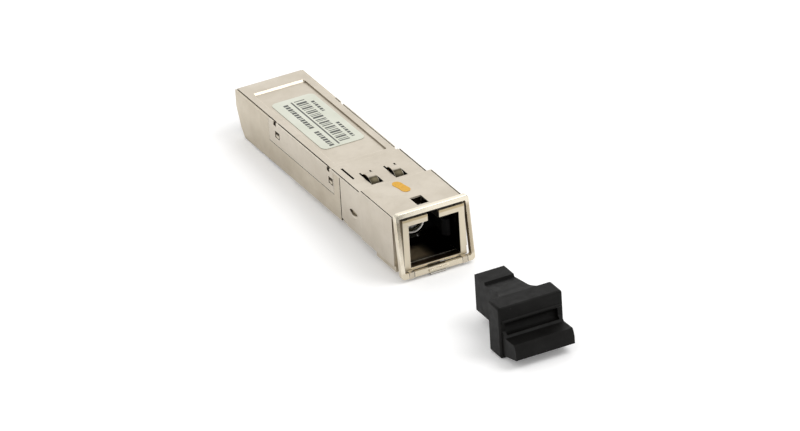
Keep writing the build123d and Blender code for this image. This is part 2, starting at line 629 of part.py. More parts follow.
def make_photodiode_can():
    """Photodiode can on the side of the optic body, with three leads."""
    header_end = OPTIC_HALF + DIODE_HEADER
    can = rod_x(OPTIC_CROSS_Y, 0, DIODE_CAP_RADIUS, OPTIC_HALF - DIODE_CAP_DEPTH, OPTIC_HALF + 0.2)
    can += rod_x(OPTIC_CROSS_Y, 0, CAN_RADIUS, OPTIC_HALF + FIT_GAP, header_end)
    for z in (-LEAD_SPACING, 0.0, LEAD_SPACING):
        can += rod_x(OPTIC_CROSS_Y, z, LEAD_RADIUS, header_end - 0.1, header_end + DIODE_LEAD)
    return can


def make_optic_retainer():
    """Moulded saddle between the optic body and the shell."""
    saddle_top = CAGE_SHEET_TOP - SHEET - 0.1
    saddle = wide_block(SADDLE_HALF, SADDLE_FRONT_Y, SADDLE_REAR_Y, OPTIC_HALF + FIT_GAP, saddle_top)
    for x in (-FINGER_X, FINGER_X):
        half = FINGER_WINDOW_HALF + FIT_GAP
        saddle -= block(x - half, x + half, SADDLE_FRONT_Y - 1, SADDLE_REAR_Y + 1,
                        SADDLE_RELIEF_Z, CAGE_SHEET_TOP)
    return fillet(saddle.edges().filter_by(Axis.Z), 0.4)


def make_laser_flex():
    """Flexible strip from the laser can down to the board."""
    board_top = BOARD_BOTTOM + BOARD_THICKNESS
    y_plate = OPTIC_END_Y + LASER_HEADER
    face_y = y_plate + 0.02
    plate = wide_block(LASER_FLEX_HALF, face_y, face_y + FLEX, board_top + FLEX, LASER_FLEX_HALF)
    foot = wide_block(LASER_FLEX_HALF, face_y, FLEX_FOOT_END_Y, board_top + 0.01, board_top + FLEX)
    for x in (-LEAD_SPACING, LEAD_SPACING):
        for z in (-LEAD_SPACING, LEAD_SPACING):
            plate -= rod_y(LEAD_HOLE_RADIUS, y_plate - 1, y_plate + 2, x, z)
            foot -= rod_y(LEAD_HOLE_RADIUS, y_plate - 1, y_plate + 1, x, z)
    return plate + foot


def make_photodiode_flex():
    """Flexible strip from the photodiode can along the wall and onto the board."""
    board_top = BOARD_BOTTOM + BOARD_THICKNESS
    x_plate = OPTIC_HALF + DIODE_HEADER + FIT_GAP
    front_y = OPTIC_CROSS_Y - DIODE_FLEX_OVERHANG
    foot_y = DIODE_FLEX_END_Y - DIODE_FLEX_FOOT
    plate = block(x_plate, x_plate + FLEX, front_y, DIODE_FLEX_END_Y, board_top + 0.01, DIODE_FLEX_TOP)
    foot = block(DIODE_FLEX_FOOT_X, x_plate + FLEX, foot_y, DIODE_FLEX_END_Y,
                 board_top + 0.01, board_top + FLEX)
    for z in (-LEAD_SPACING, 0.0, LEAD_SPACING):
        plate -= rod_x(OPTIC_CROSS_Y, z, LEAD_HOLE_RADIUS, x_plate - 1, x_plate + 1)
    return plate + foot


# ---------------------------------------------------------------- electronics
def make_circuit_board():
    """Board with a wide middle on the tray's rails and a contact tongue at the host end."""
    top = BOARD_BOTTOM + BOARD_THICKNESS
    board = wide_block(TONGUE_HALF, BOARD_FRONT_Y, BOARD_REAR_Y, BOARD_BOTTOM, top)
    board += wide_block(BOARD_WIDE_HALF, BOARD_WIDE_START_Y, BOARD_WIDE_END_Y, BOARD_BOTTOM, top)
    rear_edges = board.edges().filter_by(Axis.X).group_by(Axis.Y)[-1]
    return chamfer(rear_edges, 0.25)


def make_edge_contacts():
    """Gold contact pads on both faces of the tongue."""
    pads = []
    start_x = -CONTACT_PITCH * (CONTACT_COUNT - 1) / 2
    y_high = BOARD_REAR_Y - 0.45
    top = BOARD_BOTTOM + BOARD_THICKNESS
    for index in range(CONTACT_COUNT):
        x = start_x + index * CONTACT_PITCH
        half = CONTACT_WIDTH / 2
        length = CONTACT_LENGTH if index % 3 else CONTACT_LENGTH + 0.4
        for z in (top, BOARD_BOTTOM - CONTACT_THICKNESS):
            pads.append(block(x - half, x + half, y_high - length, y_high, z, z + CONTACT_THICKNESS))
    return pads


def on_board(x, y, width, length, height):
    """Box that stands on the board's top, centred on x and y."""
    top = BOARD_BOTTOM + BOARD_THICKNESS
    return block(x - width / 2, x + width / 2, y - length / 2, y + length / 2, top, top + height)


def make_chip(x, y, side, height):
    """Square flat package with a chamfered first corner."""
    body = on_board(x, y, side, side, height)
    corner = body.edges().filter_by(Axis.Z).sort_by(Axis.X)[0]
    return chamfer(corner, side * 0.1)


def make_capacitors():
    """Rows of small chip capacitors and resistors on the board's top."""
    parts = []
    for row_y in CAPACITOR_ROWS_Y:
        for column in range(CAPACITOR_COUNT):
            parts.append(on_board(CAPACITOR_START_X + CAPACITOR_PITCH * column, row_y, *CAPACITOR_SIZE))
    for column in range(BULK_COUNT):
        parts.append(on_board(BULK_START_X + BULK_PITCH * column, BULK_ROW_Y, *BULK_SIZE))
    return parts


def make_inductors():
    """Two wound filter inductors for the supply rails."""
    parts = []
    for x in INDUCTOR_XS:
        body = on_board(x, INDUCTOR_Y, *INDUCTOR_SIZE)
        parts.append(fillet(body.edges().filter_by(Axis.Z), 0.3))
    return parts


# ---------------------------------------------------------------- latch
def make_latch_rocker():
    """Rocker: tongue under the bail's bar, hub on the pin, latch boss behind the stop."""
    hub_top = ROCKER_PIN_Z + ROCKER_STEM_HALF
    hub_low = ROCKER_PIN_Z - ROCKER_STEM_HALF
    rear_end = BOSS_SHOULDER_Y + BOSS_LENGTH + 0.5
    outline = [
        (BAIL_PIVOT_Y - 0.45, TONGUE_BOTTOM),
        (1.3, TONGUE_BOTTOM),
        (2.6, hub_low),
        (HEAD_KEEL_END_Y + 0.4, hub_low),
        (HEAD_KEEL_END_Y + 1.6, ROCKER_REAR_BOTTOM),
        (rear_end, ROCKER_REAR_BOTTOM),
        (rear_end, ROCKER_REAR_TOP),
        (HEAD_KEEL_END_Y + 1.2, ROCKER_REAR_TOP),
        (HEAD_KEEL_END_Y + 0.1, hub_top),
        (2.2, hub_top),
        (1.0, TONGUE_TOP),
        (BAIL_PIVOT_Y - 0.45, TONGUE_TOP),
    ]
    rocker = side_profile(outline, ROCKER_HALF_WIDTH)
    rocker += rod_x(ROCKER_PIN_Y, ROCKER_PIN_Z, ROCKER_HUB_RADIUS, -ROCKER_HALF_WIDTH, ROCKER_HALF_WIDTH)
    boss_low = BODY_BOTTOM - BOSS_DROP
    boss = [
        (BOSS_SHOULDER_Y, ROCKER_REAR_BOTTOM + 0.1),
        (BOSS_SHOULDER_Y, boss_low),
        (BOSS_SHOULDER_Y + BOSS_FLAT, boss_low),
        (BOSS_SHOULDER_Y + BOSS_LENGTH, ROCKER_REAR_BOTTOM),
        (BOSS_SHOULDER_Y + BOSS_LENGTH, ROCKER_REAR_BOTTOM + 0.1),
    ]
    rocker += side_profile(boss, BOSS_HALF_WIDTH)
    bore = ROCKER_PIN_RADIUS + ROCKER_BORE_GAP
    rocker -= rod_x(ROCKER_PIN_Y, ROCKER_PIN_Z, bore, -ROCKER_HALF_WIDTH - 1, ROCKER_HALF_WIDTH + 1)
    return rocker


def make_rocker_pin():
    """Pin pressed into the head, on which the rocker turns."""
    half = ROCKER_PIN_HALF_LENGTH
    return rod_x(ROCKER_PIN_Y, ROCKER_PIN_Z, ROCKER_PIN_RADIUS, -half, half)


def make_latch_spring():
    """Bowed leaf spring that presses the rocker's boss outwards."""
    high = CHANNEL_CEILING_REAR - 0.01
    low = ROCKER_REAR_TOP + 0.01
    front = SPRING_MID_Y - SPRING_HALF_LENGTH
    rear = SPRING_MID_Y + SPRING_HALF_LENGTH
    top = ThreePointArc((front, low + SPRING_LEAF), (SPRING_MID_Y, high), (rear, low + SPRING_LEAF))
    under = ThreePointArc((rear, low), (SPRING_MID_Y, high - SPRING_LEAF), (front, low))
    face = make_face([top, Line(top @ 1, under @ 0), under, Line(under @ 1, top @ 0)])
    return extrude(Plane.YZ.offset(-SPRING_HALF_WIDTH) * face, amount=2 * SPRING_HALF_WIDTH)


def make_bail_ring():
    """Closed ring round the port, with two round journals and a cam lobe on its bottom bar."""
    z_low = -BAR_BELOW
    z_high = BAIL_HEIGHT
    outer = block(-BAIL_OUTER_HALF, BAIL_OUTER_HALF, -BAR_FRONT, BAR_REAR, z_low, z_high)
    outer = fillet(outer.edges().filter_by(Axis.Y), 0.7)
    inner = block(-BAIL_INNER_HALF, BAIL_INNER_HALF, -2, 2, BAR_ABOVE, z_high - BAIL_TOP_BAR)
    ring = outer - fillet(inner.edges().filter_by(Axis.Y), 0.25)
    ring = fillet(ring.faces().sort_by(Axis.Y)[0].outer_wire().edges(), 0.18)
    gap_low = EAR_INNER_X - EAR_SIDE_GAP
    gap_high = EAR_OUTER_X + EAR_SIDE_GAP
    for gap in both_sides(block(gap_low, gap_high, -2, 2, z_low - 1, BAR_ABOVE + 0.1)):
        ring -= gap
    for journal in both_sides(rod_x(0, 0, JOURNAL_RADIUS, gap_low - 0.3, gap_high + 0.3)):
        ring += journal
    lobe = [(-BAR_FRONT + 0.05, 0.3), (-LOBE_REACH, 0.1), (-LOBE_REACH, -0.15), (-BAR_FRONT + 0.05, -0.45)]
    ring += side_profile(lobe, LOBE_HALF_WIDTH)
    return Pos(0, BAIL_PIVOT_Y, BAIL_PIVOT_Z) * Rotation(-BAIL_LEAN, 0, 0) * ring


# ---------------------------------------------------------------- trim and plug
def make_label():
    """Paper label in the cover's sunk field."""
    floor = BODY_TOP - LABEL_POCKET_DEEP
    label = wide_block(LABEL_HALF_X, LABEL_FRONT_Y, LABEL_REAR_Y, floor, floor + LABEL_THICKNESS)
    return fillet(label.edges().filter_by(Axis.Z), 1.1)


def make_colour_mark():
    """Printed colour mark that shows the wavelength group."""
    blot = make_face(Spline(*MARK_OUTLINE, periodic=True))
    return Pos(MARK_X, MARK_Y, HEAD_TOP + SHEET) * extrude(blot, amount=MARK_THICKNESS)


def make_thermal_pad():
    """Soft pad between the driver chip and the cover's pedestal."""
    chip_top = BOARD_BOTTOM + BOARD_THICKNESS + DRIVER_HEIGHT
    return block(DRIVER_X - PAD_HALF, DRIVER_X + PAD_HALF, DRIVER_Y - PAD_HALF, DRIVER_Y + PAD_HALF,
                 chip_top + 0.01, PEDESTAL_BOTTOM - 0.01)


def make_plug_neck(end_y):
    """Nose with a raised tip, and a neck that rises and widens in a hollow curve to the grip."""
    radius = PLUG_FLARE_RADIUS
    run = sqrt(radius ** 2 - (radius - PLUG_FLARE_REACH) ** 2)
    start_y = PLUG_TIP_Y - PLUG_NOSE_LENGTH + run
    half_turn = atan2(run, radius - PLUG_FLARE_REACH) / 2
    middle = (PLUG_NOSE_HALF + radius * (1 - cos(half_turn)), start_y - radius * sin(half_turn))
    end = (PLUG_NOSE_HALF + PLUG_FLARE_REACH, start_y - run)
    right = Polyline((0, PLUG_TIP_Y), (PLUG_NOSE_HALF, PLUG_TIP_Y), (PLUG_NOSE_HALF, start_y))
    flare = ThreePointArc((PLUG_NOSE_HALF, start_y), middle, end)
    skirt = Polyline(end, (end[0], end_y), (0, end_y), (0, PLUG_TIP_Y))
    half_face = make_face([*right.edges(), flare, *skirt.edges()])
    neck = extrude(Pos(0, 0, PLUG_NOSE_BOTTOM) * half_face, amount=PLUG_NECK_REAR_TOP - PLUG_NOSE_BOTTOM)
    neck = neck + mirror(neck, about=Plane.YZ)
    step_y = PLUG_TIP_Y - PLUG_NOSE_STRAIGHT
    outline = [
        (PLUG_TIP_Y, PLUG_NOSE_BOTTOM),
        (PLUG_TIP_Y, PLUG_NOSE_TOP),
        (step_y, PLUG_NOSE_TOP),
        (step_y - 0.2, PLUG_NOSE_TOP - PLUG_NECK_STEP),
        (end_y, PLUG_NECK_REAR_TOP),
        (end_y, PLUG_NOSE_BOTTOM),
    ]
    return neck & side_profile(outline, PLUG_GRIP_HALF)


def make_dust_plug():
    """Moulded rubber plug: nose, neck, thick grip, ledge and pull tab."""
    rear_y = PLUG_TIP_Y - PLUG_NOSE_LENGTH
    plug_neck = make_plug_neck(rear_y - 0.2)
    front_y = rear_y - PLUG_GRIP_DEPTH
    grip = wide_block(PLUG_GRIP_HALF, front_y, rear_y, PLUG_GRIP_BOTTOM, PLUG_GRIP_TOP)
    grip = fillet(grip.edges().filter_by(Axis.Y), 0.5)
    top_front = grip.edges().filter_by(Axis.X).group_by(Axis.Z)[-1].sort_by(Axis.Y)[0]
    grip = fillet(top_front, PLUG_EDGE_RADIUS)
    tab_tip = front_y - PLUG_TAB_REACH
    ledge_z = PLUG_GRIP_TOP - PLUG_LEDGE_DROP
    tab_top = PLUG_GRIP_BOTTOM + PLUG_TAB_TOP
    outline = [
        (rear_y - 0.5, PLUG_GRIP_BOTTOM + 0.6),
        (front_y, PLUG_GRIP_BOTTOM + 0.6),
        (tab_tip, PLUG_GRIP_BOTTOM + 1.7),
        (tab_tip, PLUG_GRIP_BOTTOM + 3.05),
        (tab_tip + 0.25, PLUG_GRIP_BOTTOM + 3.9),
        (tab_tip + 0.6, tab_top),
        (front_y - 1.0, tab_top - 0.1),
        (front_y, tab_top + 0.8),
        (rear_y - 0.5, tab_top + 0.8),
    ]
    tab = side_profile(outline, PLUG_TAB_HALF)
    scoop_half = PLUG_TAB_HALF - PLUG_SCOOP_INSET
    scoop = rod_x(front_y - 0.1, ledge_z - PLUG_SCOOP_DROP, PLUG_SCOOP_RADIUS, -scoop_half, scoop_half)
    hollow = rod_y(PLUG_HOLLOW_RADIUS, PLUG_TIP_Y - PLUG_HOLLOW_DEPTH, PLUG_TIP_Y + 1)
    plug = plug_neck + grip + tab - scoop - hollow
    ledge_half = PLUG_GRIP_HALF - 0.5
    ledge = rod_x(front_y + 0.05, ledge_z, PLUG_LEDGE_RADIUS, -ledge_half, ledge_half)
    return plug + ledge


NODES = {
    "receptacle_block": make_receptacle_block,
    "base_tray": make_base_tray,
    "rear_cover": make_rear_cover,
    "front_shell": make_front_shell,
    "port_latch_insert": make_latch_insert,
    "ferrule_barrel": make_ferrule_barrel,
    "split_sleeve": make_split_sleeve,
    "focus_lens": make_focus_lens,
    "optic_body": make_optic_body,
    "wave_filter": make_wave_filter,
    "laser_can": make_laser_can,
    "photodiode_can": make_photodiode_can,
    "optic_retainer": make_optic_retainer,
    "laser_flex": make_laser_flex,
    "photodiode_flex": make_photodiode_flex,
    "circuit_board": make_circuit_board,
    "edge_contacts": make_edge_contacts,
    "driver_chip": lambda: make_chip(*DRIVER),
    "amplifier_chip": lambda: make_chip(*AMPLIFIER),
    "controller_chip": lambda: make_chip(*CONTROLLER),
    "chip_capacitors": make_capacitors,
    "filter_inductors": make_inductors,
    "thermal_pad": make_thermal_pad,
    "latch_rocker": make_latch_rocker,
    "rocker_pin": make_rocker_pin,
    "latch_spring": make_latch_spring,
    "bail_ring": make_bail_ring,
    "cover_label": make_label,
    "colour_mark": make_colour_mark,
    "dust_plug": make_dust_plug,
}

os.makedirs("parts", exist_ok=True)
for node_name, make in NODES.items():
    save(make(), node_name)
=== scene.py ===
"""Looks of a pluggable optical transceiver module and its dust plug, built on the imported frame.

Everything is in metres in the frame's own axes: the origin is the centre of the fibre port at its
mouth, +Y runs into the module, +Z is up. MM turns the millimetre sizes below into metres.
"""
import json
import math

import bmesh
import bpy
from mathutils import Matrix, Vector


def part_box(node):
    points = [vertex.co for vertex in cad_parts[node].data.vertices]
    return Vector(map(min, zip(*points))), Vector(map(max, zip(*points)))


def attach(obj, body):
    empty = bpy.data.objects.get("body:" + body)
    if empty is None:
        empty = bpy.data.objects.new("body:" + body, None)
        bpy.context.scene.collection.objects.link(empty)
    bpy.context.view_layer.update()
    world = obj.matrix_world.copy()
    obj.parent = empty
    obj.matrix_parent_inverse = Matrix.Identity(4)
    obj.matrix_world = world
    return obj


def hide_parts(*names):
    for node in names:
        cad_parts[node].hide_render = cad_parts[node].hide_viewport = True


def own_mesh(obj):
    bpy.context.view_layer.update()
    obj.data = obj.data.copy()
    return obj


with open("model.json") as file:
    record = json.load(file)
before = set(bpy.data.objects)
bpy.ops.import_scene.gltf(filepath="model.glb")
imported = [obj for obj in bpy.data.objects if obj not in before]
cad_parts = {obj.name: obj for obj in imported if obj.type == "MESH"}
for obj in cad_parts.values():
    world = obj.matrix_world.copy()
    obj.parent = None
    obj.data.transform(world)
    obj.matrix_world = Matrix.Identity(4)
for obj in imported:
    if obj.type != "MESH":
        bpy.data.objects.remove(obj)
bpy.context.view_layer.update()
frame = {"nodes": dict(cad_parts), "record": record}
NODES = frame["nodes"]

MM = 0.001

# ---------------------------------------------------------------- camera and stage sizes
SENSOR_WIDTH = 36.0
LENS = 417.35
CAMERA_DISTANCE = 1606.5 * MM
CAMERA_AIM = Vector((6.14, 25.25, -8.49)) * MM
CAMERA_RIGHT = Vector((0.8821, -0.4679, -0.0548))
CAMERA_BACK = Vector((-0.3898, -0.7903, 0.4727))
FLOOR_REACH = 4.0
FLOOR_FAR_ROWS = (0.1, 0.3, 1.0)
FLOOR_STEP = 2.0 * MM
FLOOR_STEPS = (-24, 36)
FLOOR_GAP = 0.01 * MM
FLOOR_FRONT_GAP = 2.0 * MM
FLOOR_REAR_INSET = 4.0 * MM
FLOOR_GLOW = 0.15
FLOOR_LOW_Y = -3.0 * MM
FLOOR_RISE_Y = 4.0 * MM

# ---------------------------------------------------------------- lights
TENT_STRENGTH = 0.80
LIGHT_AIM = (0, 20 * MM, 0)
BACK_BOX_PLACE = (0.7, 1.3, 1.0)
BACK_BOX_SIZE = 1.8
BACK_BOX_WATTS = 4.3
TOP_BOX_PLACE = (0.6, -0.35, 1.05)
TOP_BOX_SIZE = 0.7
TOP_BOX_WATTS = 5.0

# ---------------------------------------------------------------- colours, as linear values
NICKEL_WARM = (0.545, 0.490, 0.405)
NICKEL_PALE = (0.610, 0.555, 0.470)
# Edge colour: rubbed wear with a painted highlight along edges.
EDGE_WEAR_AND_HIGHLIGHT = (0.850, 0.790, 0.680)
CAST_WARM = (0.500, 0.440, 0.345)
CAST_PALE = (0.580, 0.520, 0.420)
RING_WARM = (0.620, 0.545, 0.420)
RING_PALE = (0.880, 0.820, 0.690)
# Painted shade in gaps, crevices and recesses.
PAINTED_GAP_SHADE = (0.030, 0.022, 0.014)
# Painted shade on the port walls.
PORT_PAINTED_SHADE = (0.006, 0.004, 0.003)
# Painted warm reflection on the port floor.
PORT_PAINTED_REFLECTION = (1.000, 0.790, 0.510)
# Painted shade inside the bore of the turned tube.
BORE_PAINTED_SHADE = (0.090, 0.088, 0.055)
# Painted shade, warm brown, on the port floor just inside the mouth.
PORT_MOUTH_PAINTED_SHADE = (0.070, 0.045, 0.025)
NOSE_BRASS = (0.480, 0.390, 0.235)
# Painted shade on the spring fingers' front slopes.
FINGER_PAINTED_SHADE = (0.070, 0.060, 0.038)
# Painted light on the bail ring's top bar; painted shade on its right-hand bar and inner faces.
RING_TOP_PAINTED_LIGHT = (0.790, 0.730, 0.600)
RING_SHADE = (0.430, 0.365, 0.260)
RING_INNER_PAINTED_SHADE = (0.110, 0.080, 0.045)
# Painted light on the nose frame's front face and on the bail ring's bottom bar.
NOSE_AND_BAR_PAINTED_LIGHT = (0.660, 0.590, 0.460)
# Painted highlight on the lip of the port floor.
LIP_PAINTED_HIGHLIGHT = (0.900, 0.840, 0.720)
PRINT_BLACK = (0.060, 0.062, 0.055)
DUST = (0.450, 0.440, 0.420)
LABEL_DULL = (0.640, 0.655, 0.555)
LABEL_PALE = (0.700, 0.710, 0.615)
MASK_GREEN = (0.012, 0.110, 0.045)
TRACE_GREEN = (0.040, 0.240, 0.100)
PAPER_DULL = (0.930, 0.930, 0.935)
PAPER_PALE = (0.950, 0.950, 0.950)
TENT_WHITE = (1.000, 0.995, 0.985, 1.0)

# ---------------------------------------------------------------- edges, widths in millimetres
EDGE_WIDTHS = {
    "front_shell": 0.07, "rear_cover": 0.07, "base_tray": 0.12, "receptacle_block": 0.12,
    "bail_ring": 0.02, "dust_plug": 0.16, "latch_rocker": 0.05, "port_latch_insert": 0.06,
    "optic_retainer": 0.08, "circuit_board": 0.04, "driver_chip": 0.05, "amplifier_chip": 0.05,
    "controller_chip": 0.05, "chip_capacitors": 0.05, "thermal_pad": 0.08, "optic_body": 0.06,
}
FINE_EDGE = 0.03
MERGE_GAP = 0.0005 * MM
FLAT_ANGLE = math.radians(0.5)
ROUNDED_ANGLE = math.radians(32)
SPLIT_ANGLE = math.radians(40)

# ---------------------------------------------------------------- zones of painted light, shade and tone, in millimetres
GAP_REACH = 0.7 * MM


def zone(x_low, x_high, y_low, y_high, z_low, z_high):
    """Two corners of a box, from millimetre sizes."""
    return (x_low * MM, y_low * MM, z_low * MM), (x_high * MM, y_high * MM, z_high * MM)


def side_zones(y, low_z, high_z, inner, outer, before, after, colour):
    """The same small zone on both sides of the module, around a position along it."""
    left = zone(-outer, -inner, y - before, y + after, low_z, high_z)
    right = zone(inner, outer, y - before, y + after, low_z, high_z)
    return [(left, 0.01, colour), (right, 0.01, colour)]


CATCH_YS = (25.3, 45.4)
# Painted light on the nose frame's front; painted shade on the port walls, on the port floor at the
# mouth and in the gap behind the front block; a painted warm reflection on that floor and a painted
# highlight on its lip; and a brassy band along the nose's top bevel.
CAST_ZONES = [
    (zone(-7, 7, -0.2, 0.12, -4.5, 5.6), 0.03, NOSE_AND_BAR_PAINTED_LIGHT),
    (zone(-4.95, 4.95, 0.12, 13.0, -4.15, 5.2), 0.02, PORT_PAINTED_SHADE),
    (zone(-4.9, 4.9, 0.12, 1.25, -4.15, -3.70), 0.02, PORT_MOUTH_PAINTED_SHADE),
    (zone(-4.6, 0.2, 1.6, 6.0, -6.0, -3.70), 0.9, PORT_PAINTED_REFLECTION),
    (zone(-4.6, 4.6, 1.10, 1.48, -3.80, -3.70), 0.04, LIP_PAINTED_HIGHLIGHT),
    (zone(-7, 7, 21.4, 21.99, -4.0, 4.3), 0.005, PAINTED_GAP_SHADE),
    (zone(-7, 7, -0.2, 0.5, 4.86, 5.6), 0.14, NOSE_BRASS),
]
# Painted shade in the recesses behind the catch windows and the notches above them.
for catch_y in CATCH_YS:
    CAST_ZONES += side_zones(catch_y, 1.3, 2.85, 6.0, 6.42, 0.95, 0.95, PAINTED_GAP_SHADE)
    CAST_ZONES += side_zones(catch_y, 3.4, 4.05, 6.0, 6.75, -0.2, 1.4, PAINTED_GAP_SHADE)
# Painted shade on the front slopes of the two spring fingers.
SHEET_ZONES = [
    (zone(-3.2, -1.5, 16.0, 17.75, 3.9, 6.0), 0.15, FINGER_PAINTED_SHADE),
    (zone(1.5, 3.2, 16.0, 17.75, 3.9, 6.0), 0.15, FINGER_PAINTED_SHADE),
]
# Painted light on the top and bottom bars of the bail ring, painted shade on its right-hand bar and on
# its inner faces.
RING_ZONES = [
    (zone(-7.1, 7.1, -2, 3, 5.2, 7.0), 0.2, RING_TOP_PAINTED_LIGHT),
    (zone(5.9, 7.1, -2, 3, -4.2, 5.0), 0.4, RING_SHADE),
    (zone(-7.1, 7.1, -2, 3, -5.8, -4.3), 0.2, NOSE_AND_BAR_PAINTED_LIGHT),
    (zone(-6.43, 6.43, -2, 3, -4.2, 5.0), 0.01, RING_INNER_PAINTED_SHADE),
]

# ---------------------------------------------------------------- label print, in millimetres
LABEL_RULE_X = -0.75
LABEL_RULE_WIDTH = 0.30
LABEL_RULE_Y = (33.2, 51.4)
LABEL_BAR_X = (-0.25, 1.75)
LABEL_BAR_Y = (33.9, 51.6)
LABEL_BAR_WIDTHS = (0.34, 0.20, 0.52, 0.20, 0.34, 0.62, 0.26, 0.20, 0.46)
LABEL_BAR_GAPS = (0.30, 0.44, 0.24, 0.52, 0.30)
LABEL_DASH_ROWS = (
    (-2.1, 0.9, 33.2, 39.6), (-2.1, 0.9, 40.8, 51.2),
    (2.65, 0.6, 34.4, 40.2), (2.65, 0.6, 45.6, 49.8),
)
LABEL_DASH_LENGTHS = (0.62, 0.62, 0.30, 0.62)
LABEL_DASH_GAP = 0.26
INK_THICKNESS = 0.012 * MM
INK_SLOPE = 0.02


# ---------------------------------------------------------------- material helpers
def new_material(name):
    """A principled material; returns it with its tree, shader and object coordinates."""
    material = bpy.data.materials.new(name)
    material.use_nodes = True
    tree = material.node_tree
    tree.nodes.clear()
    output = tree.nodes.new("ShaderNodeOutputMaterial")
    shader = tree.nodes.new("ShaderNodeBsdfPrincipled")
    tree.links.new(shader.outputs["BSDF"], output.inputs["Surface"])
    coords = tree.nodes.new("ShaderNodeTexCoord")
    return material, tree, shader, coords.outputs["Object"]


def stretched(tree, coords, scale):
    """Coordinates scaled by a different amount along each axis."""
    mapping = tree.nodes.new("ShaderNodeMapping")
    mapping.inputs["Scale"].default_value = scale
    tree.links.new(coords, mapping.inputs["Vector"])
    return mapping.outputs["Vector"]


def noise(tree, coords, scale, detail=3.0, roughness=0.5):
    """Noise of one feature per 1/scale metres, from 0 to 1."""
    node = tree.nodes.new("ShaderNodeTexNoise")
    node.inputs["Scale"].default_value = scale
    node.inputs["Detail"].default_value = detail
    node.inputs["Roughness"].default_value = roughness
    tree.links.new(coords, node.inputs["Vector"])
    return node.outputs["Fac"]


def spread(tree, value, low_in, high_in, low_out, high_out):
    """Value mapped from one range to another and clamped."""
    node = tree.nodes.new("ShaderNodeMapRange")
    node.clamp = True
    tree.links.new(value, node.inputs["Value"])
    sockets = ("From Min", "From Max", "To Min", "To Max")
    for socket, number in zip(sockets, (low_in, high_in, low_out, high_out)):
        node.inputs[socket].default_value = number
    return node.outputs["Result"]


def mixed(tree, factor, first, second):
    """Colour between two colours or sockets by a factor."""
    node = tree.nodes.new("ShaderNodeMix")
    node.data_type = "RGBA"
    tree.links.new(factor, node.inputs["Factor"])
    for socket, colour in ((node.inputs[6], first), (node.inputs[7], second)):
        if isinstance(colour, tuple):
            socket.default_value = (*colour, 1.0)
        else:
            tree.links.new(colour, socket)
    return node.outputs[2]


def combine(tree, operation, first, second):
    """Arithmetic on two values; either may be a number."""
    node = tree.nodes.new("ShaderNodeMath")
    node.operation = operation
    for socket, value in zip(node.inputs, (first, second)):
        if isinstance(value, (int, float)):
            socket.default_value = value
        else:
            tree.links.new(value, socket)
    return node.outputs[0]


def raise_surface(tree, shader, heights):
    """Bump from several (height socket, strength, distance) layers."""
    normal = None
    for height, strength, distance in heights:
        node = tree.nodes.new("ShaderNodeBump")
        node.inputs["Strength"].default_value = strength
        node.inputs["Distance"].default_value = distance
        tree.links.new(height, node.inputs["Height"])
        if normal is not None:
            tree.links.new(normal, node.inputs["Normal"])
        normal = node.outputs["Normal"]
    tree.links.new(normal, shader.inputs["Normal"])


def edge_mask(tree, radius):
    """1 along convex and concave edges within a radius, 0 on flats."""
    bevel = tree.nodes.new("ShaderNodeBevel")
    bevel.samples = 4
    bevel.inputs["Radius"].default_value = radius
    geometry = tree.nodes.new("ShaderNodeNewGeometry")
    dot = tree.nodes.new("ShaderNodeVectorMath")
    dot.operation = "DOT_PRODUCT"
    tree.links.new(bevel.outputs["Normal"], dot.inputs[0])
    tree.links.new(geometry.outputs["Normal"], dot.inputs[1])
    return spread(tree, dot.outputs["Value"], 0.99, 0.90, 0.0, 1.0)


def gap_shade_mask(tree, reach):
    """Where gap shade is painted: 1 deep in narrow gaps and under overlaps, 0 on open faces."""
    shade = tree.nodes.new("ShaderNodeAmbientOcclusion")
    shade.samples = 6
    shade.inputs["Distance"].default_value = reach
    return spread(tree, shade.outputs["AO"], 0.30, 0.62, 1.0, 0.0)


def axis_value(tree, coords, axis):
    """Distance from the middle plane along one axis, in metres."""
    split = tree.nodes.new("ShaderNodeSeparateXYZ")
    tree.links.new(coords, split.inputs["Vector"])
    return split.outputs[axis]


def within(tree, value, low, high, soft):
    """1 between two positions along an axis, 0 outside, with soft ends."""
    rise = spread(tree, value, low - soft, low + soft, 0.0, 1.0)
    fall = spread(tree, value, high - soft, high + soft, 1.0, 0.0)
    return combine(tree, "MULTIPLY", rise, fall)


def zone_mask(tree, coords, corners, soft):
    """1 inside a box given by its two corners, 0 outside, with soft sides."""
    inside = None
    for axis, low, high in zip("XYZ", *corners):
        part = within(tree, axis_value(tree, coords, axis), low, high, soft)
        inside = part if inside is None else combine(tree, "MULTIPLY", inside, part)
    return inside


